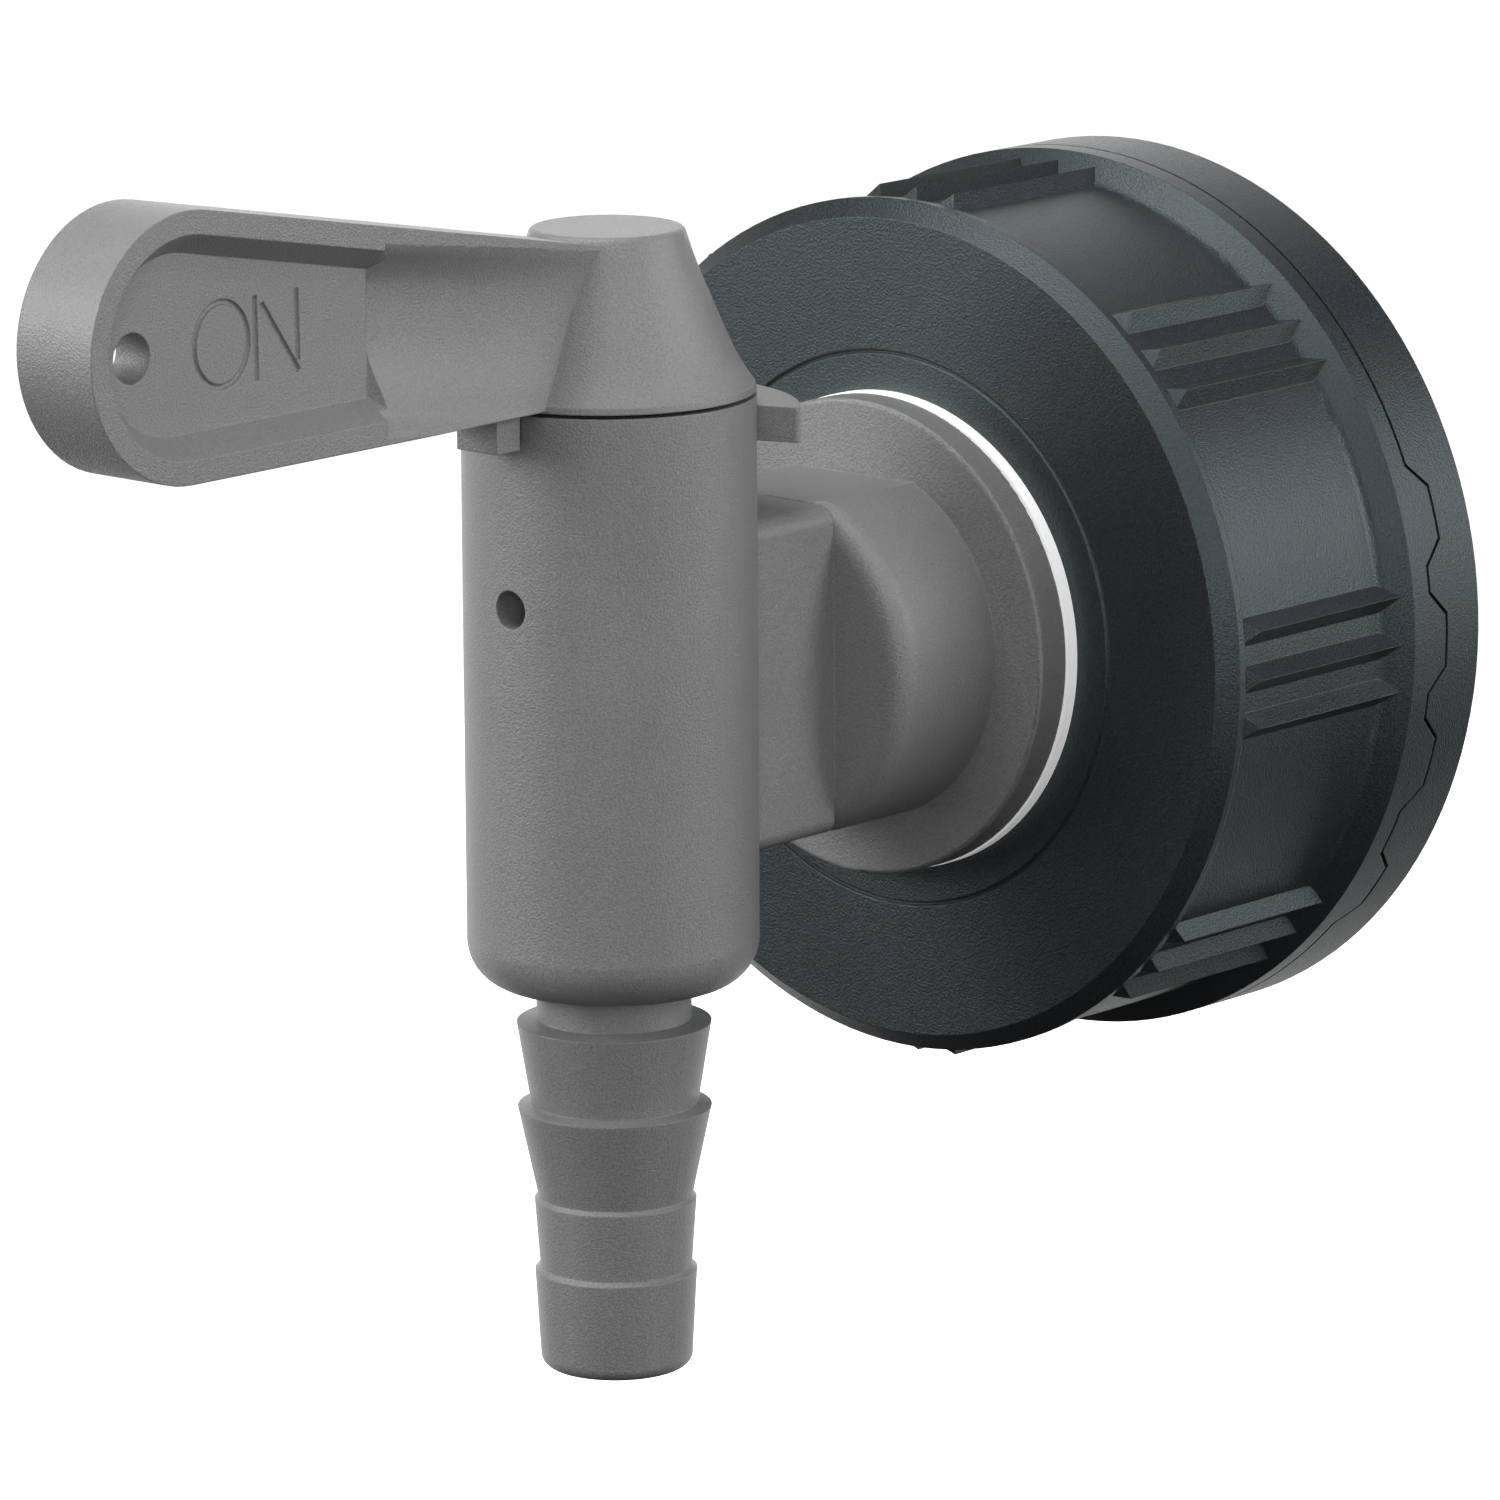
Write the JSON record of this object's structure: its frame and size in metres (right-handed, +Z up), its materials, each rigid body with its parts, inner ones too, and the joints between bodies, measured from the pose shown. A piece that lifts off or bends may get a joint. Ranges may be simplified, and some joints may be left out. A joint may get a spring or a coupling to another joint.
{
  "type": "jerrycan tap",
  "caption": "Screw cap with a lever-operated dispensing tap and stepped hose spout for a plastic jerrycan",
  "frame": {"origin": "centre of the end of the threaded skirt of the screw cap, on the cap axis, at the seam where the tamper band begins", "axes": "+Y is the cap axis pointing out of the cap mouth toward the container, +Z is up along the valve axis, +X completes a right-handed frame; the lever points to -Y at rest"},
  "size_m": [0.07, 0.1188, 0.095],
  "materials": {
    "cap_plastic": "fine-textured dark grey moulded polyethylene",
    "tap_plastic": "fine-textured mid grey moulded plastic",
    "washer_plastic": "smooth white plastic",
    "seal_rubber": "smooth black rubber"
  },
  "bodies": {
    "tap": {"screw_cap": "cap_plastic", "neck_seal": "seal_rubber", "flange_washer": "washer_plastic", "tap_body": "tap_plastic"},
    "lever": {"lever_plug": "tap_plastic", "upper_o_ring": "seal_rubber", "lower_o_ring": "seal_rubber"}
  },
  "joints": [
    {"name": "lever_turn", "type": "hinge", "parent": "tap", "child": "lever", "pos_m": [0, -0.05521, 0], "axis": [0, 0, 1], "range_deg": [-118, 118]}
  ]
}
